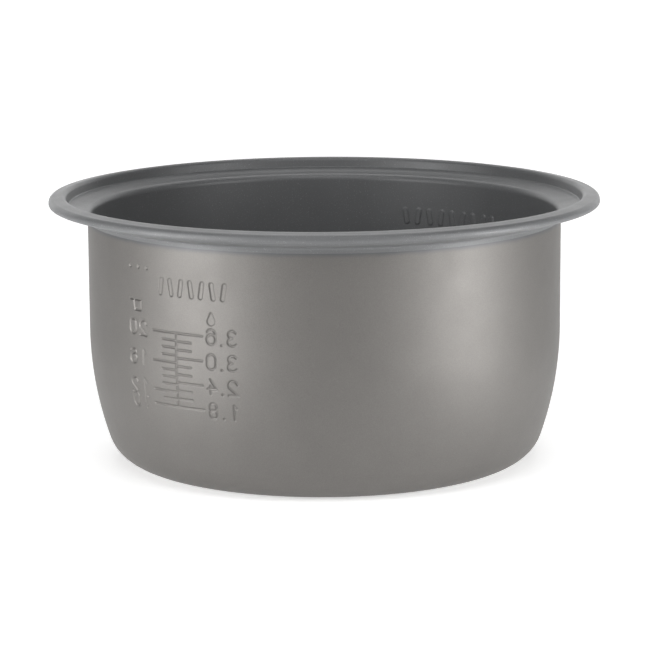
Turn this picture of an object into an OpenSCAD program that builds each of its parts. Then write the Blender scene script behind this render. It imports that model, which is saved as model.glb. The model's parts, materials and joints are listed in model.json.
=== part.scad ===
// Inner cooking pot of a rice cooker: a deep-drawn aluminium pan with a rolled flange,
// a stamped water-level scale, a non-stick lining and a satin outer coat.
// Origin: centre of the base, on the surface it stands on. +Z is up and -Y is the front.

/* [Pot] */
// Outer radius of the straight wall
wall_r = 144; // [138:0.5:152]
// Height of the lip's crest above the base
pot_h = 163.3; // [160:0.1:175]
// Outer radius of the arc between the straight wall and the corner
belly_r = 206; // [190:1:225]
// Angle that the belly arc turns through
belly_turn = 18.8; // [14:0.2:22]
// Outer radius of the rounded corner above the base
corner_r = 22.5; // [18:0.5:28]

/* [Sheet and coats] */
// Thickness of the drawn aluminium sheet
sheet_t = 1.8; // [1.6:0.1:1.9]
// Thickness of each coat, drawn thicker than a sprayed coat so that it is a true solid
coat_t = 0.3; // [0.25:0.05:0.3]
// How far below the neck the lining ends and the outer coat begins
mask_drop = 1.8; // [1:0.1:4]

/* [Flange and lip] */
// Outer radius of the fillet between wall and ledge
neck_r = 1.7; // [1.2:0.1:2.5]
// Upward slope of the ledge where it leaves the neck
ledge_slope_in = 4; // [2:1:8]
// Upward slope of the ledge at its foot
ledge_slope_out = 24; // [20:1:28]
// Radius of the ledge's hollow upper face
ledge_r = 29.6; // [27:0.1:32]
// Upper radius of the crease between ledge and riser
crease_r = 1; // [0.8:0.1:1.5]
// Slope of the riser up to the crest
riser_slope = 76; // [70:1:80]
// Straight length of the riser
riser_len = 3.8; // [3:0.1:5]
// Upper radius over the crest of the lip
crest_r = 2.8; // [2.6:0.1:3.4]
// Downward slope of the lip's top, outwards from the crest
top_slope = 10; // [6:1:14]
// Straight length of the lip's top
top_len = 5; // [4:0.1:6]
// Upper radius of the bend at the lip's outside
bend_r = 3; // [2.8:0.1:3.6]
// Straight length of the edge that hangs down from the bend
edge_len = 0.7; // [0.4:0.1:1.5]

/* [Water-level scale] */
// Angle of the scale's spine round the pot, from the front towards +X
scale_az = -36.6; // [-60:0.2:-20]
// Height of the lowest mark
scale_low_z = 54.4; // [52:0.1:60]
// Height from the lowest mark to the highest
scale_span = 43.6; // [42:0.1:46]
// Depth of the stamping
stamp_depth = 0.55; // [0.55:0.05:0.65]
// Width of a stamped groove on the outside
groove_w = 1.1; // [0.9:0.1:1.2]
// Height of the numerals' centre lines
numeral_h = 8.7; // [8:0.1:9.2]
// Width of the numerals' centre lines
numeral_w = 5.7; // [5:0.1:6]

/* [Hidden] */
round_fn = 180;
arc_step = 6;       // degrees between the points of an arc in the sheet's section
stroke_step = 36;   // degrees between the points of an arc in a stamped mark
overrun = 0.15;     // how far a stamping runs into the layer above it
total_t = sheet_t + 2 * coat_t;
lip_r = total_t / 2;

// Scale: one mark a cup from 10 to 20 cups on the left, and one every 0.2 litres of rice on the
// right. Angles are round the pot, and each side's list holds the marks that have a numeral.
cup_marks = 10;
long_cup_marks = [0, 2, 6, 10];
cup_labels = [[1, 0], [1, 2], [1, 6], [2, 0]];
litre_marks = 9;
litre_labels = [[1, 8], [2, 4], [3, 0], [3, 6]];
long_mark_az = 7.3;
short_mark_az = 4.2;
litre_digit_az = [15.1, 9.7];
point_az = 12.4;
point_share = 0.6;  // the decimal point's radius as a share of the stroke's width
cup_digit_az = [-10.6, -14.3];
spine_extra = 0.06; // the spine is stamped this much deeper than the marks
spine_step = 5;     // height between the points of the spine's section
mark_gap = 0.1;     // from the spine's centre to the end of each mark

// Pictograms: angle of each from the spine, or of a row's first one, and height of its centre
drop_at = [9.7, 107];
cup_at = [-12.4, 111];
dots_at = [-15, 133.5];
front_grains_at = [-4.4, 124.3];
back_grains_at = [167.1, 128];
dots_pitch = 3;
front_pitch = 2.9;
back_pitch = 3.4;
front_grains = 7;
back_grains = 9;
front_grain_h = 11;
back_grain_h = 10;
grain_tilt = 9;
grain_core_r = 0.8;
drop_r = 2;
drop_apex = 4.8;
dot_share = 0.9;    // a dot's radius as a share of the stroke's width
small_fn = 24;

// ---- The sheet's section ----
// It is a chain of straights and turns along the outer face, from the centre of the base to
// the lip. Each turn is [heading at its end, radius]: a radius above 0 turns left, towards the
// inside of the pot, and one below 0 turns right.
turns = [
    [90 - belly_turn, corner_r],
    [90, belly_r],
    [ledge_slope_in, -neck_r],
    [ledge_slope_out, ledge_r + total_t],
    [riser_slope, crease_r + total_t],
    [-top_slope, -(crest_r - total_t)],
    [-90, -(bend_r - total_t)]
];
neck_turn = 2;
last_turn = len(turns) - 1;

base_r = wall_r - belly_r * (1 - cos(belly_turn)) - corner_r * cos(belly_turn);
belly_top_z = belly_r * sin(belly_turn) + corner_r * (1 - sin(belly_turn));
flange_rise = (neck_r + total_t) * cos(ledge_slope_in)
    + ledge_r * (cos(ledge_slope_in) - cos(ledge_slope_out))
    + crease_r * (cos(ledge_slope_out) - cos(riser_slope))
    + riser_len * sin(riser_slope)
    + crest_r * (1 - cos(riser_slope));
neck_z = pot_h - flange_rise;
mask_z = neck_z - mask_drop;
// Straight length before each turn
straights = [base_r, 0, neck_z - belly_top_z, 0, 0, riser_len, top_len];

function unit(a) = [cos(a), sin(a)];
function left(a) = [-sin(a), cos(a)];
function reversed(list) = [for (k = [len(list) - 1 : -1 : 0]) list[k]];
function heading(i) = i == 0 ? 0 : turns[i - 1][0];
// Where turn i starts, and where it ends, on the outer face
function turn_start(i) = (i == 0 ? [0, 0] : turn_end(i - 1)) + straights[i] * unit(heading(i));
function turn_end(i) = turn_start(i)
    + turns[i][1] * (left(heading(i)) - left(heading(i + 1)));
// Points along turn i on the face that lies depth inside the outer one
function turn_points(i, depth) = let(
        sweep = heading(i + 1) - heading(i),
        centre = turn_start(i) + turns[i][1] * left(heading(i)),
        n = max(3, ceil(abs(sweep) / arc_step)))
    [for (k = [0 : n]) centre - (turns[i][1] - depth) * left(heading(i) + sweep * k / n)];
// Points along turns first to last
function face(first, last, depth) = [for (i = [first : last]) each turn_points(i, depth)];
// The whole face, from the pot's axis to the start of the hanging edge
function full_face(depth) = concat([[0, depth]], face(0, last_turn, depth));
// The face above the masking line
function upper_face(depth) = concat([[wall_r - depth, mask_z]], face(neck_turn, last_turn, depth));
// The sheet's round end, from its outer face over to its inner one
lip_centre = turn_end(last_turn) + [lip_r, -edge_len];
function lip_end(r) = [for (a = [180 : 15 : 360]) lip_centre + r * unit(a)];

// ---- Strokes and stamped marks ----
// Points on an ellipse's arc
function oval(c, rx, ry, a0, a1) = let(n = ceil(abs(a1 - a0) / stroke_step))
    [for (k = [0 : n]) c + [rx * cos(a0 + (a1 - a0) * k / n), ry * sin(a0 + (a1 - a0) * k / n)]];
// Direction of a path at point i
function along(p, i) = let(d = p[min(i + 1, len(p) - 1)] - p[max(i - 1, 0)]) d / norm(d);
// The path made longer by run at both ends
function longer(p, run) = let(last = len(p) - 1)
    concat([p[0] - run * along(p, 0)], [for (i = [1 : 1 : last - 1]) p[i]], [p[last] + run * along(p, last)]);
// Points beside a path, w / 2 to its left
function side(p, w) = [for (i = [0 : len(p) - 1]) p[i] + w / 2 * [-along(p, i).y, along(p, i).x]];

// A stroke of width w, which runs w / 2 past the path's ends
module stroke(path, w) {
    p = longer(path, w / 2);
    polygon(concat(side(p, w), reversed(side(p, -w))));
}

module bar(a, b, w) stroke([a, b], w);

// Stadium: two half circles of radius r, their centres half_gap above and below the middle
module stadium(c, half_gap, r) polygon(concat(oval(c + [0, half_gap], r, r, 0, 180),
    oval(c - [0, half_gap], r, r, 180, 360)));

// Closed outline of width w whose centre line is a stadium
module ring(c, half_gap, r, w)
    difference() {
        stadium(c, half_gap, r + w / 2);
        stadium(c, half_gap, r - w / 2);
    }

// A numeral in strokes of width w, centred on the origin
module numeral(digit, w) {
    x = numeral_w / 2;
    y = numeral_h / 2;
    bowl = y - x;
    small_bowl = y / 2;
    if (digit == 0)
        ring([0, 0], bowl, x, w);
    if (digit == 1) {
        bar([0, -y], [0, y], w);
        bar([-x * 0.6, y * 0.6], [0, y], w);
    }
    if (digit == 2) {
        stroke(oval([0, bowl], x, x, 165, -15), w);
        bar([x * 0.85, bowl - x * 0.5], [-x * 0.9, -y], w);
        bar([-x, -y], [x, -y], w);
    }
    if (digit == 3) {
        bar([-x, y], [x, y], w);
        bar([x, y], [-x * 0.1, y * 0.3], w);
        stroke(oval([0, -y * 0.35], x, y * 0.65, 105, -150), w);
    }
    if (digit == 4) {
        bar([x * 0.35, y], [-x, -y * 0.35], w);
        bar([-x, -y * 0.35], [x, -y * 0.35], w);
        bar([x * 0.35, y * 0.1], [x * 0.35, -y], w);
    }
    if (digit == 6) {
        ring([0, -bowl], 0.1, x, w);
        bar([-x * 0.95, -y * 0.18], [x * 0.3, y], w);
    }
    if (digit == 8) {
        ring([0, small_bowl], 0.1, small_bowl, w);
        ring([0, -small_bowl], 0.1, small_bowl * 1.1, w);
    }
}

// Grain of rice, which a stroke of width w widens all round
module grain(length, w) stadium([0, 0], length * 0.36, grain_core_r + w / 2);

// Water drop: a round bowl under a pointed top, widened all round like the grain
module drop(w) {
    e = w / 2;
    tip = asin(drop_r / drop_apex);
    polygon(concat([[0, drop_apex + e / sin(tip)]],
        [for (k = [0 : 6]) (drop_r + e) * unit(180 - tip + k * (180 + 2 * tip) / 6)]));
}

// Outline of a measuring cup with a straight handle
module cup(w) {
    half_h = 3;
    half_top = 3.6;
    half_foot = 2.6;
    handle = 4;
    bar([-half_top, half_h], [half_top + handle, half_h], w);
    bar([-half_top, half_h], [-half_foot, -half_h], w);
    bar([half_top, half_h], [half_foot, -half_h], w);
    bar([-half_foot, -half_h], [half_foot, -half_h], w);
}

// How far the wall leans in at height z, where the belly starts to curve
function wall_lean(z) = asin(max(0, belly_top_z - z) / belly_r);
// Radius of the wall's outer face at height z
function wall_r_at(z) = wall_r - belly_r * (1 - cos(wall_lean(z)));

// Runs a flat mark through the face that lies depth inside the wall's outer face. It reads
// from inside the pot.
module on_wall(az, z, depth)
    rotate([0, 0, az])
        translate([0, -wall_r_at(z), z])
            rotate([90 - wall_lean(z), 0, 180])
                translate([0, 0, depth - overrun])
                    linear_extrude(stamp_depth + overrun)
                        children();

// A level mark that follows the wall round, between two angles
module level_mark(az_from, az_to, z, depth, w)
    rotate([0, 0, az_from - 90])
        rotate_extrude(angle = az_to - az_from, $fn = round_fn)
            translate([wall_r_at(z), z])
                rotate(-wall_lean(z))
                    translate([-depth - stamp_depth, -w / 2])
                        square([stamp_depth + overrun, w]);

// Point on the wall's section at height z, depth inside the outer face
function wall_point(z, depth) = [wall_r_at(z) - depth * cos(wall_lean(z)), z + depth * sin(wall_lean(z))];

// The scale's spine, which follows the wall down from the highest mark to the lowest
module spine(depth, w) {
    half_az = asin(w / 2 / wall_r);
    high = scale_low_z + scale_span;
    heights = concat([for (z = [scale_low_z : spine_step : high - 1]) z], [high]);
    rotate([0, 0, scale_az - half_az - 90])
        rotate_extrude(angle = 2 * half_az, $fn = round_fn)
            polygon(concat([for (z = heights) wall_point(z, depth - overrun)],
                [for (z = reversed(heights)) wall_point(z, depth + stamp_depth + spine_extra)]));
}

function cup_z(i) = scale_low_z + scale_span * i / cup_marks;
function litre_z(i) = scale_low_z + scale_span * i / litre_marks;
function is_long(i) = len(search(i, long_cup_marks)) > 0;

module scale_marks(depth, w) {
    for (z = [scale_low_z, scale_low_z + scale_span])
        level_mark(scale_az - long_mark_az, scale_az + long_mark_az, z, depth, w);
    for (i = [1 : cup_marks - 1])
        level_mark(scale_az - (is_long(i) ? long_mark_az : short_mark_az), scale_az - mark_gap,
            cup_z(i), depth, w);
    for (i = [1 : litre_marks - 1])
        level_mark(scale_az + mark_gap, scale_az + (i % 3 == 0 ? long_mark_az : short_mark_az),
            litre_z(i), depth, w);
    spine(depth, w);
}

module scale_numerals(depth, w)
    for (i = [0 : 3]) {
        litre_label_z = litre_z(3 * i);
        cup_label_z = cup_z(long_cup_marks[i]);
        for (k = [0 : 1]) {
            on_wall(scale_az + litre_digit_az[k], litre_label_z, depth) numeral(litre_labels[i][k], w);
            on_wall(scale_az + cup_digit_az[k], cup_label_z, depth) numeral(cup_labels[i][k], w);
        }
        on_wall(scale_az + point_az, litre_label_z, depth)
            translate([0, -numeral_h / 2])
                circle(r = w * point_share, $fn = small_fn);
    }

// A row of rice grains, tilted to one side and the other
module grain_row(at, count, pitch, length, depth, w)
    for (i = [0 : count - 1])
        on_wall(scale_az + at[0] + pitch * i, at[1], depth)
            rotate(i % 2 == 0 ? grain_tilt : -grain_tilt)
                grain(length, w);

// A drop over the litres, a cup and three dots over the cups, and rows of grains
module pictograms(depth, w) {
    on_wall(scale_az + drop_at[0], drop_at[1], depth) drop(w);
    on_wall(scale_az + cup_at[0], cup_at[1], depth) cup(w);
    for (i = [0 : 2])
        on_wall(scale_az + dots_at[0] + dots_pitch * i, dots_at[1], depth)
            circle(r = w * dot_share, $fn = small_fn);
    grain_row(front_grains_at, front_grains, front_pitch, front_grain_h, depth, w);
    grain_row(back_grains_at, back_grains, back_pitch, back_grain_h, depth, w);
}

module stamping(depth, w) {
    scale_marks(depth, w);
    scale_numerals(depth, w);
    pictograms(depth, w);
}

// ---- The layers ----
// Drawn sheet, with a bare flat disc under it that touches the heater
module pan_shell() {
    color("silver")
    union() {
        difference() {
            rotate_extrude($fn = round_fn)
                polygon(concat(full_face(coat_t), lip_end(lip_r - coat_t),
                    reversed(full_face(total_t - coat_t))));
            stamping(coat_t, groove_w + 2 * coat_t);
        }
        stamping(total_t - coat_t, groove_w + 2 * coat_t);
        cylinder(h = 2 * coat_t, r = base_r, $fn = round_fn);
    }
}

// Non-stick coat: inside, over the lip and down the neck to the masking line
module nonstick_lining() {
    color("dimgray")
    difference() {
        union() {
            rotate_extrude($fn = round_fn)
                polygon(concat(full_face(total_t), reversed(lip_end(lip_r)), reversed(upper_face(0)),
                    upper_face(coat_t), lip_end(lip_r - coat_t), reversed(full_face(total_t - coat_t))));
            stamping(total_t, groove_w + 4 * coat_t);
        }
        stamping(total_t - coat_t, groove_w + 2 * coat_t);
    }
}

// Satin coat on the outside, from the contact disc's edge up to the masking line
module outer_coating() {
    color("darkgray")
    difference() {
        union() {
            rotate_extrude($fn = round_fn)
                polygon(concat(face(0, 1, 0), [[wall_r, mask_z], [wall_r - coat_t, mask_z]],
                    reversed(face(0, 1, coat_t))));
            stamping(coat_t, groove_w + 2 * coat_t);
        }
        stamping(0, groove_w);
    }
}

pan_shell();
nonstick_lining();
outer_coating();
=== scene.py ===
"""Looks of the rice cooker's inner pot. Each CAD layer is rebuilt as a fine mesh that carries the
stamped water-level scale, and gets its material. Then come the floor, the lights and the camera."""
import json
import math

import bpy
import numpy as np
from mathutils import Matrix, Vector


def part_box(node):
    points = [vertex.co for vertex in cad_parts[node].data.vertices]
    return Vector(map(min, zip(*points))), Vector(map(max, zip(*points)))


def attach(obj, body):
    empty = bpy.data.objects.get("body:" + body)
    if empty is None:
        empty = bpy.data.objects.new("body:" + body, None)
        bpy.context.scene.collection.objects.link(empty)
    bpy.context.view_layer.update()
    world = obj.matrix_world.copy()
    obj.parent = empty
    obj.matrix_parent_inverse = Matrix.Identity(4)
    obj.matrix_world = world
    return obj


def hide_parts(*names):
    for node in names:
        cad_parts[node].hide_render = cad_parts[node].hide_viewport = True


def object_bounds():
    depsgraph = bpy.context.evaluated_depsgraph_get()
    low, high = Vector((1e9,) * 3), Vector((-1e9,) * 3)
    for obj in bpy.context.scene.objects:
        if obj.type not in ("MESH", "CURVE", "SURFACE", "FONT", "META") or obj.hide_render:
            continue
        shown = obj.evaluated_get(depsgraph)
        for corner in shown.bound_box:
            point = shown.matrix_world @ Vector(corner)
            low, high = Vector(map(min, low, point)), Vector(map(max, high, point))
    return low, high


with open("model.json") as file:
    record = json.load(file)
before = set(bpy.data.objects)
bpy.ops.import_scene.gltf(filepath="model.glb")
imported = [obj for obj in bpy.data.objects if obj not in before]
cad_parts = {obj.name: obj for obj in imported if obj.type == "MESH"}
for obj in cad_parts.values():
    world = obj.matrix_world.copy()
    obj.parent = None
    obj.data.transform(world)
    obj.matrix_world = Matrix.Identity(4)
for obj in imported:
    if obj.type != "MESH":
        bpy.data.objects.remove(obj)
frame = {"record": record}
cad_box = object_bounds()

# ---- Sizes, in millimetres and degrees, as in the CAD model ----
MM = 0.001
MOUNTS = {m["name"]: m for m in frame["record"]["mounts"]}
WALL_R = MOUNTS["well_fit"]["dims"]["r_mm"]
POT_H = (cad_box[1].z - cad_box[0].z) / MM
MASK_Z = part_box("outer_coating")[1].z / MM

BELLY_R = 206.0
BELLY_TURN = 18.8
CORNER_R = 22.5
COAT_T = 0.3
TOTAL_T = 2.4
NECK_R = 1.7
LEDGE_IN, LEDGE_OUT, LEDGE_R = 4.0, 24.0, 29.6
CREASE_R = 1.0
RISER_SLOPE, RISER_LEN = 76.0, 3.8
CREST_R = 2.8
TOP_SLOPE, TOP_LEN = 10.0, 5.0
BEND_R = 3.0
EDGE_LEN = 0.7

SCALE_AZ = -36.6
SCALE_LOW, SCALE_SPAN = 54.4, 43.6
CUP_MARKS, LITRE_MARKS = 10, 9
CUP_LABELS = {0: "10", 2: "12", 6: "16", 10: "20"}
LITRE_LABELS = {0: "18", 3: "24", 6: "30", 9: "36"}
LONG_MARK_AZ, SHORT_MARK_AZ = 7.3, 4.2
CUP_DIGIT_AZ = (-10.6, -14.3)
LITRE_DIGIT_AZ = (15.1, 9.7)
POINT_AZ = 12.4
NUMERAL_W, NUMERAL_H = 5.7, 8.7

# Pictograms: angle from the scale's spine, or of a row's first one, and height of the centre
DROP_AT = (9.7, 107)
CUP_AT = (-12.4, 111)
DOTS_AT, DOTS, DOT_PITCH = (-15, 133.5), 3, 3
FRONT_GRAINS_AT, FRONT_GRAINS, FRONT_PITCH, FRONT_GRAIN_H = (-4.4, 124.3), 7, 2.9, 11
BACK_GRAINS_AT, BACK_GRAINS, BACK_PITCH, BACK_GRAIN_H = (167.1, 128), 9, 3.4, 10
GRAIN_TILT = 9

STAMP_DEPTH = 0.55
GROOVE_W = 1.1        # width of a stamped groove outside, and of its rib inside
RIB_W = 1.9
STAMP_SOFT = 0.28     # half the width over which the edge of a stamping rounds off
POINT_SWELL = 0.22    # how much wider than a stroke a decimal point is,
DOT_SWELL = 0.88      # a dot
GRAIN_SWELL = 1.6     # and a solid grain

# ---- Mesh density ----
COLUMNS = 216         # coarse columns round the pot
ROW = 4.1             # height of a coarse row on the wall
UNITS = 12            # fine steps along a coarse cell's side; stamped marks use single steps
MIDDLE = 4            # and the cells next to them this many
ARC_STEP = 7.5        # degrees between the rows of a turn in the section
SHARP_ANGLE = 62      # faces that meet at a larger angle keep a sharp edge


def sin_d(a):
    return math.sin(math.radians(a))


def cos_d(a):
    return math.cos(math.radians(a))


def left(a):
    return np.array((-sin_d(a), cos_d(a)))


def unit(a):
    return np.array((cos_d(a), sin_d(a)))


# ---- The sheet's section ----
BASE_R = WALL_R - BELLY_R * (1 - cos_d(BELLY_TURN)) - CORNER_R * cos_d(BELLY_TURN)
BELLY_TOP = BELLY_R * sin_d(BELLY_TURN) + CORNER_R * (1 - sin_d(BELLY_TURN))
NECK_Z = (POT_H - (NECK_R + TOTAL_T) * cos_d(LEDGE_IN) - LEDGE_R * (cos_d(LEDGE_IN) - cos_d(LEDGE_OUT))
          - CREASE_R * (cos_d(LEDGE_OUT) - cos_d(RISER_SLOPE)) - RISER_LEN * sin_d(RISER_SLOPE)
          - CREST_R * (1 - cos_d(RISER_SLOPE)))


class Stretch:
    """One straight or turn of the outer face. A radius above 0 turns left, towards the inside."""

    def __init__(self, start, heading, length=0.0, radius=0.0, end=None):
        self.start, self.heading, self.radius = start, heading, radius
        self.sweep = 0.0 if end is None else end - heading
        self.length = length or abs(radius * math.radians(self.sweep))

    def at(self, t, depth):
        """Point a share t along the stretch, depth inside the outer face, and the inward normal."""
        inward = left(self.heading + self.sweep * t)
        if self.sweep:
            centre = self.start + self.radius * left(self.heading)
            return centre - (self.radius - depth) * inward, inward
        return self.start + self.length * t * unit(self.heading) + depth * inward, inward


def section():
    """The outer face's stretches by name, from the centre of the base to the hanging edge."""
    steps = (
        ("base", {"length": BASE_R}),
        ("corner", {"radius": CORNER_R, "end": 90 - BELLY_TURN}),
        ("belly", {"radius": BELLY_R, "end": 90}),
        ("wall", {"length": MASK_Z - BELLY_TOP}),
        ("skirt", {"length": NECK_Z - MASK_Z}),
        ("neck", {"radius": -NECK_R, "end": LEDGE_IN}),
        ("ledge", {"radius": LEDGE_R + TOTAL_T, "end": LEDGE_OUT}),
        ("crease", {"radius": CREASE_R + TOTAL_T, "end": RISER_SLOPE}),
        ("riser", {"length": RISER_LEN}),
        ("crest", {"radius": TOTAL_T - CREST_R, "end": -TOP_SLOPE}),
        ("top", {"length": TOP_LEN}),
        ("bend", {"radius": TOTAL_T - BEND_R, "end": -90}),
        ("edge", {"length": EDGE_LEN}),
    )
    stretches, start, heading = {}, np.zeros(2), 0.0
    for name, shape in steps:
        stretch = Stretch(start, heading, **shape)
        stretches[name] = stretch
        start, heading = stretch.at(1, 0)[0], heading + stretch.sweep
    return stretches


SECTION = section()
UPPER = ["neck", "ledge", "crease", "riser", "crest", "top", "bend", "edge"]
LOWER = ["corner", "belly", "wall"]


def wall_height(z):
    """Distance along the outer face to height z, counted so that it is z itself on the wall."""
    lean = math.asin(max(0.0, BELLY_TOP - z) / BELLY_R)
    return max(z, BELLY_TOP) - BELLY_R * lean


def wall_radius(z):
    return WALL_R - BELLY_R * (1 - math.cos(math.asin(max(0.0, BELLY_TOP - z) / BELLY_R)))


def face_height(name, t):
    """The same distance, at share t of a stretch; None off the wall and belly."""
    if name == "belly":
        return BELLY_TOP - (1 - t) * SECTION["belly"].length
    if name == "wall":
        return BELLY_TOP + t * SECTION["wall"].length
    return None


# ---- Stamped marks: strokes as lines of points in a mark's own frame, which reads from inside ----
def arc(cx, cy, rx, ry, start, end, step=9):
    n = math.ceil(abs(end - start) / step)
    angles = [math.radians(start + (end - start) * k / n) for k in range(n + 1)]
    return [(cx + rx * math.cos(a), cy + ry * math.sin(a)) for a in angles]


def stadium(cy, half_gap, r):
    loop = arc(0, cy + half_gap, r, r, 0, 180) + arc(0, cy - half_gap, r, r, 180, 360)
    return loop + loop[:1]


def numeral(digit):
    x, y = NUMERAL_W / 2, NUMERAL_H / 2
    bowl, small = y - x, y / 2
    return {
        "0": [stadium(0, bowl, x)],
        "1": [[(0, -y), (0, y), (-0.6 * x, 0.6 * y)]],
        "2": [arc(0, bowl, x, x, 165, -25) + [(-x, -y), (x, -y)]],
        "3": [arc(0, small, 0.9 * x, small, 150, -90), arc(0, -small, x, small, 90, -150)],
        "4": [[(0.35 * x, y), (-x, -0.35 * y), (x, -0.35 * y)], [(0.35 * x, 0.1 * y), (0.35 * x, -y)]],
        "6": [stadium(-bowl, 0.1, x), arc(0, bowl, x, x, 30, 180) + [(-x, -bowl)]],
        "8": [stadium(small, 0.1, small), stadium(-small, 0.1, 1.1 * small)],
    }[digit]


def tilted(lines, degrees):
    c, s = cos_d(degrees), sin_d(degrees)
    return [[(c * x - s * y, s * x + c * y) for x, y in line] for line in lines]


def grain(length):
    """A grain's middle line; its swell makes it solid."""
    return [[(0, -0.36 * length), (0, 0.36 * length)]]


def drop(r=2.0, apex=4.8):
    """A pointed drop, filled by lines from its tip."""
    tip = math.degrees(math.asin(r / apex))
    bowl = arc(0, 0, r, r, 180 - tip, 360 + tip, 15)
    return [[(0, apex)] + bowl + [(0, apex)]] + [[(0, apex), (x, y)] for x, y in bowl[1:-1:2]]


def cup(half_h=3.0, half_top=3.6, half_foot=2.6, handle=4.0):
    return [[(half_top, half_h), (half_foot, -half_h), (-half_foot, -half_h), (-half_top, half_h),
             (half_top + handle, half_h)]]


def grain_row(place, count, pitch, length):
    az, z = place
    return [(SCALE_AZ + az + pitch * i, z, tilted(grain(length), GRAIN_TILT * (-1) ** i), GRAIN_SWELL)
            for i in range(count)]


def all_marks():
    """Every mark as (angle round the pot, height of its centre, lines, swell)."""
    marks = []
    sides = ((CUP_MARKS, CUP_LABELS, CUP_DIGIT_AZ, 1), (LITRE_MARKS, LITRE_LABELS, LITRE_DIGIT_AZ, -1))
    for count, labels, digit_az, side in sides:
        for i in range(count + 1):
            z = SCALE_LOW + SCALE_SPAN * i / count
            reach = math.radians(LONG_MARK_AZ if i in labels else SHORT_MARK_AZ) * wall_radius(z)
            marks.append((SCALE_AZ, z, [[(0, 0), (side * reach, 0)]], 0))
            for az, digit in zip(digit_az, labels.get(i, "")):
                marks.append((SCALE_AZ + az, z, numeral(digit), 0))
    for i in LITRE_LABELS:
        point = (0, -NUMERAL_H / 2)
        z = SCALE_LOW + SCALE_SPAN * i / LITRE_MARKS
        marks.append((SCALE_AZ + POINT_AZ, z, [[point, point]], POINT_SWELL))
    low, high = wall_height(SCALE_LOW), wall_height(SCALE_LOW + SCALE_SPAN)
    marks.append((SCALE_AZ, SCALE_LOW, [[(0, 0), (0, high - low)]], 0))
    marks.append((SCALE_AZ + DROP_AT[0], DROP_AT[1], drop(), 0))
    marks.append((SCALE_AZ + CUP_AT[0], CUP_AT[1], cup(), 0))
    for i in range(DOTS):
        marks.append((SCALE_AZ + DOTS_AT[0] + DOT_PITCH * i, DOTS_AT[1], [[(0, 0), (0, 0)]], DOT_SWELL))
    marks += grain_row(FRONT_GRAINS_AT, FRONT_GRAINS, FRONT_PITCH, FRONT_GRAIN_H)
    marks += grain_row(BACK_GRAINS_AT, BACK_GRAINS, BACK_PITCH, BACK_GRAIN_H)
    return marks


MARKS = all_marks()


def line_distance(points, line):
    """Distance from each point to a line of points."""
    best = np.full(len(points), np.inf)
    line = np.array(line, float)
    for a, b in zip(line[:-1], line[1:]):
        run = b - a
        along = np.clip((points - a) @ run / max(run @ run, 1e-12), 0, 1)
        best = np.minimum(best, np.linalg.norm(points - a - along[:, None] * run, axis=1))
    return best


def edge_distance(az, height, width, reach):
    """How far each place on the wall is outside the nearest stroke's edge, up to reach."""
    best = np.full(len(az), float(reach))
    for mark_az, z, lines, swell in MARKS:
        half = (width + swell) / 2
        across = (az - mark_az + 180) % 360 - 180
        x = -np.radians(across) * wall_radius(z)
        y = height - wall_height(z)
        corners = np.array([p for line in lines for p in line])
        margin = half + reach
        near = np.flatnonzero((x > corners[:, 0].min() - margin) & (x < corners[:, 0].max() + margin)
                              & (y > corners[:, 1].min() - margin) & (y < corners[:, 1].max() + margin))
        points = np.column_stack((x[near], y[near]))
        for line in lines:
            best[near] = np.minimum(best[near], line_distance(points, line) - half)
    return best


def stamping(az, height, width, soft):
    """Depth of the stamping at each place."""
    outside = edge_distance(az, height, width, soft)
    t = np.clip((outside + soft) / (2 * soft), 0, 1)
    return STAMP_DEPTH * (1 - t * t * (3 - 2 * t))


# ---- Meshes: each layer's section turned round the axis, finer where it is stamped ----
def smooth_step(x, low, high):
    t = min(max((x - low) / (high - low), 0.0), 1.0)
    return t * t * (3 - 2 * t)


# Extra depth of the coat's hidden face, and the heights between which it comes in and goes again
SEAT_EXTRA = 0.5
SEAT_RISE = (30, 42)
SEAT_FALL = (138, MASK_Z - 2)


def seat_depth(height):
    """Depth of the outer coat's hidden face: deeper on the wall, so that it clears the grooves."""
    return COAT_T + SEAT_EXTRA * smooth_step(height, *SEAT_RISE) * (1 - smooth_step(height, *SEAT_FALL))


def stretch_rows(names, depth, rows=None, back=False, fine=False):
    """Rows of a face along the named stretches: (stretch, share, depth, may be refined)."""
    rows = rows or {}
    found = []
    for name in reversed(names) if back else names:
        stretch = SECTION[name]
        needed = max(1, math.ceil(stretch.length / ROW), math.ceil(abs(stretch.sweep) / ARC_STEP))
        n = rows.get(name) or needed
        shares = [k / n for k in range(n + 1)]
        for t in reversed(shares) if back else shares:
            found.append((name, t, depth, fine and name in ("belly", "wall")))
    return found


def lip_rows(r, to_inside, n):
    """Rows over the sheet's round end, with radius r."""
    centre, inward = SECTION["edge"].at(1, TOTAL_T / 2)
    found = []
    for k in range(1, n):
        turn = math.pi * k / n if to_inside else math.pi * (1 - k / n)
        found.append((centre - r * math.cos(turn) * inward + r * math.sin(turn) * unit(-90), inward))
    return found


def row_point(row, t=None):
    """The section point, inward normal and height on the wall of a row, or of a share between rows."""
    if len(row) == 2:
        return row[0], row[1], None
    name, share, depth, _ = row
    share = share if t is None else t
    height = face_height(name, share)
    if callable(depth):
        depth = depth(height) if height is not None else COAT_T
    point, inward = SECTION[name].at(share, depth)
    return point, inward, height


def may_split(rows, j):
    """True if the cells between rows j and j + 1 may be refined."""
    low, high = rows[j], rows[j + 1]
    return len(low) == 4 and len(high) == 4 and low[3] and low[0] == high[0] and low[1] != high[1]


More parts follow.
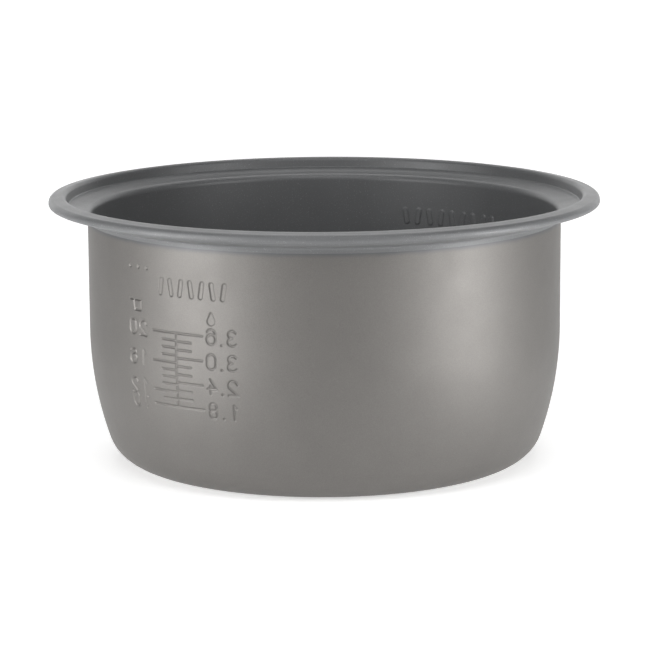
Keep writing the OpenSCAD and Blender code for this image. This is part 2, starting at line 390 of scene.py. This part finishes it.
def cell_layout(rows, heights, width):
    """Cells as (column, row, size) in fine steps: smaller where a stroke's edge is near."""
    step_az = 360 / COLUMNS / UNITS

    def near(cells, size):
        """Which cells of one size, as (column, row), a rounded stroke edge may cross."""
        column, row = np.array(cells).T + size / 2
        whole = np.floor(row / UNITS).astype(int)
        height = heights[whole] + (heights[whole + 1] - heights[whole]) * (row / UNITS - whole)
        reach = math.hypot(size, size) / 2 * math.radians(step_az) * WALL_R + STAMP_SOFT
        return edge_distance(column * step_az - 180, height, width, 2 * reach) < reach

    cells, coarse = [], []
    for j in range(len(rows) - 1):
        row = [(i * UNITS, j * UNITS) for i in range(COLUMNS)]
        if width and may_split(rows, j):
            coarse += row
        else:
            cells += [(i, j, UNITS) for i, j in row]
    if not coarse:
        return cells
    split = near(coarse, UNITS)
    cells += [(i, j, UNITS) for (i, j), cut in zip(coarse, split) if not cut]
    steps = range(0, UNITS, MIDDLE)
    middle = [(i + a, j + b) for (i, j), cut in zip(coarse, split) if cut for b in steps for a in steps]
    split = near(middle, MIDDLE)
    cells += [(i, j, MIDDLE) for (i, j), cut in zip(middle, split) if not cut]
    steps = range(MIDDLE)
    cells += [(i + a, j + b, 1) for (i, j), cut in zip(middle, split) if cut for b in steps for a in steps]
    return cells


def turned_mesh(name, rows, width=None, closed_ring=False):
    """A closed mesh from rows of the section, stamped where the rows may be refined."""
    around = COLUMNS * UNITS
    points = [row_point(r) for r in rows]
    top = (len(rows) - 1) * UNITS
    poles = {j * UNITS for j, p in enumerate(points) if abs(p[0][0]) < 1e-6}

    def key(i, j):
        if closed_ring and j == top:
            j = 0
        return (0 if j in poles else i % around, j)

    heights = np.array([np.nan if p[2] is None else p[2] for p in points])
    cells = cell_layout(rows, heights, width)
    index = {}
    for i, j, size in cells:
        for a, b in ((i, j), (i + size, j), (i + size, j + size), (i, j + size)):
            index.setdefault(key(a, b), len(index))

    # A cell's border takes in every corner that finer neighbours have on it.
    split_rows = {j // UNITS for i, j, size in cells if size < UNITS}
    split_rows |= {j + 1 for j in split_rows} | {j - 1 for j in split_rows}
    faces = []
    for i, j, size in cells:
        if size == 1 or j // UNITS not in split_rows:
            border = [(i, j), (i + size, j), (i + size, j + size), (i, j + size)]
        else:
            steps = range(size)
            border = ([(i + k, j) for k in steps] + [(i + size, j + k) for k in steps]
                      + [(i + size - k, j + size) for k in steps] + [(i, j + size - k) for k in steps])
        face = []
        for a, b in border:
            vertex = index.get(key(a, b))
            if vertex is not None and vertex not in face:
                face.append(vertex)
        faces.append(face)

    keys = np.array(list(index))
    fine_rows = {}
    for j in np.unique(keys[:, 1]):
        whole, part = divmod(int(j), UNITS)
        if part == 0:
            fine_rows[int(j)] = points[whole]
        else:
            low, high = rows[whole], rows[whole + 1]
            fine_rows[int(j)] = row_point(low, low[1] + (high[1] - low[1]) * part / UNITS)
    section_points = np.array([fine_rows[j][0] for j in keys[:, 1]])
    inward = np.array([fine_rows[j][1] for j in keys[:, 1]])
    height = np.array([np.nan if fine_rows[j][2] is None else fine_rows[j][2] for j in keys[:, 1]])
    az = keys[:, 0] * (360 / around) - 180
    if width:
        can_stamp = {j * UNITS for j, r in enumerate(rows) if len(r) == 4 and r[3]}
        stamped = np.array([j % UNITS > 0 or j in can_stamp for j in keys[:, 1]]) & ~np.isnan(height)
        depth = stamping(az[stamped], height[stamped], width, STAMP_SOFT)
        section_points[stamped] += depth[:, None] * inward[stamped]
    r, z = section_points.T * MM
    turn = np.radians(az)
    vertices = np.column_stack((r * np.sin(turn), -r * np.cos(turn), z))

    mesh = bpy.data.meshes.new(name)
    mesh.from_pydata(vertices.tolist(), [], faces)
    mesh.validate()
    mesh.shade_smooth()
    mesh.set_sharp_from_angle(angle=math.radians(SHARP_ANGLE))
    piece = bpy.data.objects.new(name, mesh)
    bpy.context.scene.collection.objects.link(piece)
    return piece


# Rows of each stretch on faces that are out of sight, on the flange's underside and on the base
HIDDEN = {"base": 1, "corner": 8, "belly": 5, "wall": 1, "skirt": 1, "neck": 3, "ledge": 2, "crease": 2,
          "riser": 1, "crest": 5, "top": 1, "bend": 5, "edge": 1}
UNDERSIDE = {"neck": 7, "ledge": 4, "crease": 4, "crest": 5, "bend": 5}
BASE_ROWS = 8


def lining_piece():
    inside = ["base"] + LOWER + ["skirt"] + UPPER
    rows = stretch_rows(inside, TOTAL_T - COAT_T, rows=HIDDEN)
    rows += lip_rows(TOTAL_T / 2 - COAT_T, False, 3)
    rows += stretch_rows(["skirt"] + UPPER, COAT_T, rows=HIDDEN, back=True)
    rows += stretch_rows(["skirt"] + UPPER, 0, rows=UNDERSIDE)
    rows += lip_rows(TOTAL_T / 2, True, 11)
    rows += stretch_rows(inside, TOTAL_T, rows={"base": BASE_ROWS}, back=True, fine=True)
    return turned_mesh("lining_surface", rows, width=RIB_W)


def coat_piece():
    rows = stretch_rows(LOWER, 0, fine=True)
    rows += stretch_rows(LOWER, seat_depth, back=True)
    rows.append(rows[0])
    return turned_mesh("coat_surface", rows, width=GROOVE_W, closed_ring=True)


def metal_piece():
    rows = stretch_rows(["base"], 0, rows={"base": BASE_ROWS})
    rows += stretch_rows(LOWER, seat_depth)
    rows += stretch_rows(["skirt"] + UPPER, COAT_T, rows=HIDDEN)
    rows += lip_rows(TOTAL_T / 2 - COAT_T, True, 3)
    rows += stretch_rows(["base"] + LOWER + ["skirt"] + UPPER, TOTAL_T - COAT_T, rows=HIDDEN, back=True)
    return turned_mesh("metal_surface", rows)


# ---- Materials ----
class Shader:
    """A material's node tree, with short calls for the nodes used below."""

    def __init__(self, name, **values):
        self.material = bpy.data.materials.new(name)
        self.material.use_nodes = True
        self.tree = self.material.node_tree
        self.surface = self.tree.nodes["Principled BSDF"]
        for socket, value in values.items():
            self.surface.inputs[socket.replace("_", " ")].default_value = value
        self.place = self.add("ShaderNodeTexCoord").outputs["Object"]

    def add(self, kind, inputs=(), **settings):
        node = self.tree.nodes.new(kind)
        for key, value in settings.items():
            setattr(node, key, value)
        for socket, value in dict(inputs).items():
            if isinstance(value, bpy.types.NodeSocket):
                self.tree.links.new(value, node.inputs[socket])
            else:
                node.inputs[socket].default_value = value
        return node

    def noise(self, size, detail=2.0):
        """Noise with features of a given size in metres, about 0.5 on average."""
        return self.add("ShaderNodeTexNoise", {"Vector": self.place, "Scale": 1 / size, "Detail": detail,
                                               "Roughness": 0.55}).outputs[0]

    def math(self, operation, a, b=0.0, c=0.0):
        node = self.add("ShaderNodeMath", {0: a, 1: b, 2: c}, operation=operation)
        return node.outputs[0]

    def span(self, value, low, high, to_low=0.0, to_high=1.0, ease="SMOOTHSTEP"):
        return self.add("ShaderNodeMapRange", {0: value, 1: low, 2: high, 3: to_low, 4: to_high},
                        interpolation_type=ease).outputs[0]

    def mix(self, share, a, b):
        return self.add("ShaderNodeMix", {0: share, 6: a, 7: b}, data_type="RGBA").outputs[2]

    def part(self, axis):
        return self.add("ShaderNodeSeparateXYZ", {0: self.place}).outputs[axis]

    def bump(self, height, distance, after=None):
        inputs = {"Height": height, "Distance": distance, "Strength": 1.0}
        if after is not None:
            inputs["Normal"] = after
        return self.add("ShaderNodeBump", inputs).outputs[0]

    def to(self, socket, value):
        self.tree.links.new(value, self.surface.inputs[socket])


def grey(r, g=None, b=None):
    return (r, r if g is None else g, r if b is None else b, 1.0)


# The lining's grey. Below the masking line it is also put on the coat, partly as overspray and partly as
# painted shade.
LINING_GREY = grey(0.13, 0.133, 0.138)


def overspray_and_painted_shade(shader):
    """Share of lining colour near the masking line: partly the soft edge where the two sprays overlap,
    partly painted shade on the coat under the flange, reaching 3.2 mm below the line.
    """
    wander = shader.math("MULTIPLY_ADD", shader.noise(0.012), 0.0016, -0.0008)
    height = shader.math("ADD", shader.part(2), wander)
    return shader.span(height, (MASK_Z - 3.2) * MM, (MASK_Z + 0.4) * MM)


def outer_coat():
    """Satin metallic spray coat: fine flakes, faint cloudiness, a worn ring at the base, and lining grey
    below the masking line that is partly overspray and partly painted shade.
    """
    s = Shader("outer_coat", Metallic=0.85)
    flakes = s.span(s.noise(0.0005, 1), 0.35, 0.65, 0.93, 1.07, "LINEAR")
    clouds = s.span(s.noise(0.05, 3), 0.3, 0.7, 0.97, 1.03, "LINEAR")
    shade = s.math("MULTIPLY", flakes, clouds)
    light = s.span(shade, 0.9, 1.1, ease="LINEAR")
    coat = s.mix(light, grey(0.165, 0.1583, 0.1508), grey(0.196, 0.1883, 0.1791))
    worn = s.math("MULTIPLY", s.span(s.part(2), 0.0001, 0.0022, 0.5, 0.0), s.noise(0.006, 4))
    coat = s.mix(worn, coat, grey(0.62, 0.61, 0.6))
    # Darker lining grey just below the masking line: partly overspray, partly painted shade under the
    # flange.
    s.to("Base Color", s.mix(overspray_and_painted_shade(s), coat, LINING_GREY))
    s.to("Roughness", s.span(s.noise(0.02, 4), 0.3, 0.7, 0.53, 0.58, "LINEAR"))
    peel = s.bump(s.noise(0.0007, 2), 0.000012)
    s.to("Normal", s.bump(s.noise(0.009, 2), 0.00003, peel))
    return s.material


def lining():
    """Dark non-stick coat with fine orange peel and a few lighter flecks."""
    s = Shader("nonstick", Metallic=0.12)
    flecks = s.span(s.noise(0.0006, 1), 0.62, 0.74)
    clouds = s.span(s.noise(0.04, 3), 0.3, 0.7, 0.0, 1.0, "LINEAR")
    base = s.mix(clouds, grey(0.135, 0.138, 0.141), grey(0.149, 0.152, 0.155))
    s.to("Base Color", s.mix(flecks, base, grey(0.22, 0.222, 0.228)))
    s.to("Roughness", s.span(s.noise(0.015, 4), 0.3, 0.7, 0.42, 0.48, "LINEAR"))
    peel = s.bump(s.noise(0.0012, 2), 0.00002)
    s.to("Normal", s.bump(s.noise(0.012, 2), 0.00003, peel))
    return s.material


def turned_metal():
    """Bare aluminium with the fine rings that turning leaves."""
    s = Shader("pan_metal", Metallic=1.0)
    x, y = s.part(0), s.part(1)
    r = s.math("SQRT", s.math("MULTIPLY_ADD", x, x, s.math("MULTIPLY", y, y)))
    pitch = 0.0004
    rings = s.math("SINE", s.math("MULTIPLY", r, 2 * math.pi / pitch))
    wide = s.add("ShaderNodeTexNoise", {"W": r, "Scale": 1 / 0.0015, "Detail": 3.0},
                 noise_dimensions="1D").outputs[0]
    scuffs = s.noise(0.004, 6)
    s.to("Base Color", s.mix(s.span(scuffs, 0.4, 0.75), grey(0.78, 0.78, 0.79), grey(0.66, 0.66, 0.67)))
    s.to("Roughness", s.span(wide, 0.3, 0.7, 0.2, 0.36, "LINEAR"))
    s.to("Normal", s.bump(rings, 0.000004, s.bump(wide, 0.00002)))
    return s.material


# ---- The pieces ----
def finish_piece(piece, node, material):
    piece.data.materials.append(material)
    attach(piece, "root")
    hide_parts(node)


finish_piece(coat_piece(), "outer_coating", outer_coat())
finish_piece(lining_piece(), "nonstick_lining", lining())
finish_piece(metal_piece(), "pan_shell", turned_metal())

# ---- The floor, the lights and the camera ----
CENTRE = (cad_box[0] + cad_box[1]) / 2
FLOOR_R = 12.0
FLOOR_GLOW = 0.46     # the floor's own light, which keeps its shadows faint
POOL_REACH = 0.26     # distance of a floor lamp's pool of light from the pot's axis
POOL_ELEVATION, POOL_DISTANCE, POOL_SIZE = 30, 0.2, 0.12


def floor():
    bpy.ops.mesh.primitive_circle_add(vertices=128, radius=FLOOR_R, fill_type="NGON",
                                      location=(CENTRE.x, CENTRE.y, cad_box[0].z))
    disc = bpy.context.active_object
    disc.name = "floor"
    s = Shader("floor_paint", Roughness=0.9)
    s.surface.inputs["Specular IOR Level"].default_value = 0.1
    s.surface.inputs["Emission Color"].default_value = grey(1.0)
    s.surface.inputs["Emission Strength"].default_value = FLOOR_GLOW
    s.to("Base Color", s.mix(s.noise(0.3, 3), grey(0.86), grey(0.88)))
    disc.data.materials.append(s.material)


def softbox(name, azimuth, elevation, distance, width, height, power, aim=CENTRE):
    """A rectangular light turned to the pot. Azimuth 0 is the front, and it grows towards +X.
    Angles are in degrees, distance and size in metres and power in watts."""
    light = bpy.data.lights.new(name, "AREA")
    light.shape, light.size, light.size_y, light.energy = "RECTANGLE", width, height, power
    lamp = bpy.data.objects.new(name, light)
    away = Vector((sin_d(azimuth) * cos_d(elevation), -cos_d(azimuth) * cos_d(elevation), sin_d(elevation)))
    lamp.location = aim + distance * away
    lamp.rotation_euler = away.to_track_quat("Z", "Y").to_euler()
    lamp.visible_camera = False
    bpy.context.scene.collection.objects.link(lamp)


def pool(name, azimuth, power):
    """A small low lamp close to the pot that brightens the floor beside it."""
    middle = Vector((CENTRE.x, CENTRE.y, cad_box[0].z))
    aim = middle + POOL_REACH * Vector((sin_d(azimuth), -cos_d(azimuth), 0))
    softbox(name, azimuth, POOL_ELEVATION, POOL_DISTANCE, POOL_SIZE, POOL_SIZE, power, aim)


def lights():
    softbox("left_front", -48, 14, 2.6, 0.8, 1.6, 26)
    softbox("left_side", -66, 14, 2.6, 0.8, 1.6, 9)
    softbox("right_front", 48, 14, 2.6, 0.8, 1.6, 11)
    softbox("right_side", 60, 14, 2.6, 0.8, 1.6, 14)
    softbox("overhead_front", 0, 60, 2.8, 2.0, 1.4, 22)
    softbox("overhead_back", 180, 60, 2.8, 2.0, 1.4, 25)
    softbox("backdrop", 180, 12, 4.4, 8.0, 3.2, 138)
    pool("left_pool", -54, 0.4)
    pool("right_pool", 60, 0.55)


def camera():
    """The view from the front and a little above. Distances are in wall radii and angles in radians."""
    back, up, lens = 12.38, 2.92, 163.5
    pitch, roll = 0.1886, -0.0058
    data = bpy.data.cameras.new("camera")
    data.lens, data.sensor_width = lens, 36.0
    data.clip_start, data.clip_end = 0.05, 60.0
    cam = bpy.data.objects.new("camera", data)
    turn = Matrix.Rotation(math.pi / 2 - pitch, 4, "X") @ Matrix.Rotation(roll, 4, "Z")
    place = Matrix.Translation((CENTRE.x, CENTRE.y - back * WALL_R * MM, up * WALL_R * MM))
    cam.matrix_world = place @ turn
    bpy.context.scene.collection.objects.link(cam)
    bpy.context.scene.camera = cam


camera()
floor()
lights()
view = bpy.context.scene.view_settings
view.view_transform, view.look, view.exposure, view.gamma = "Standard", "None", 0.0, 1.0
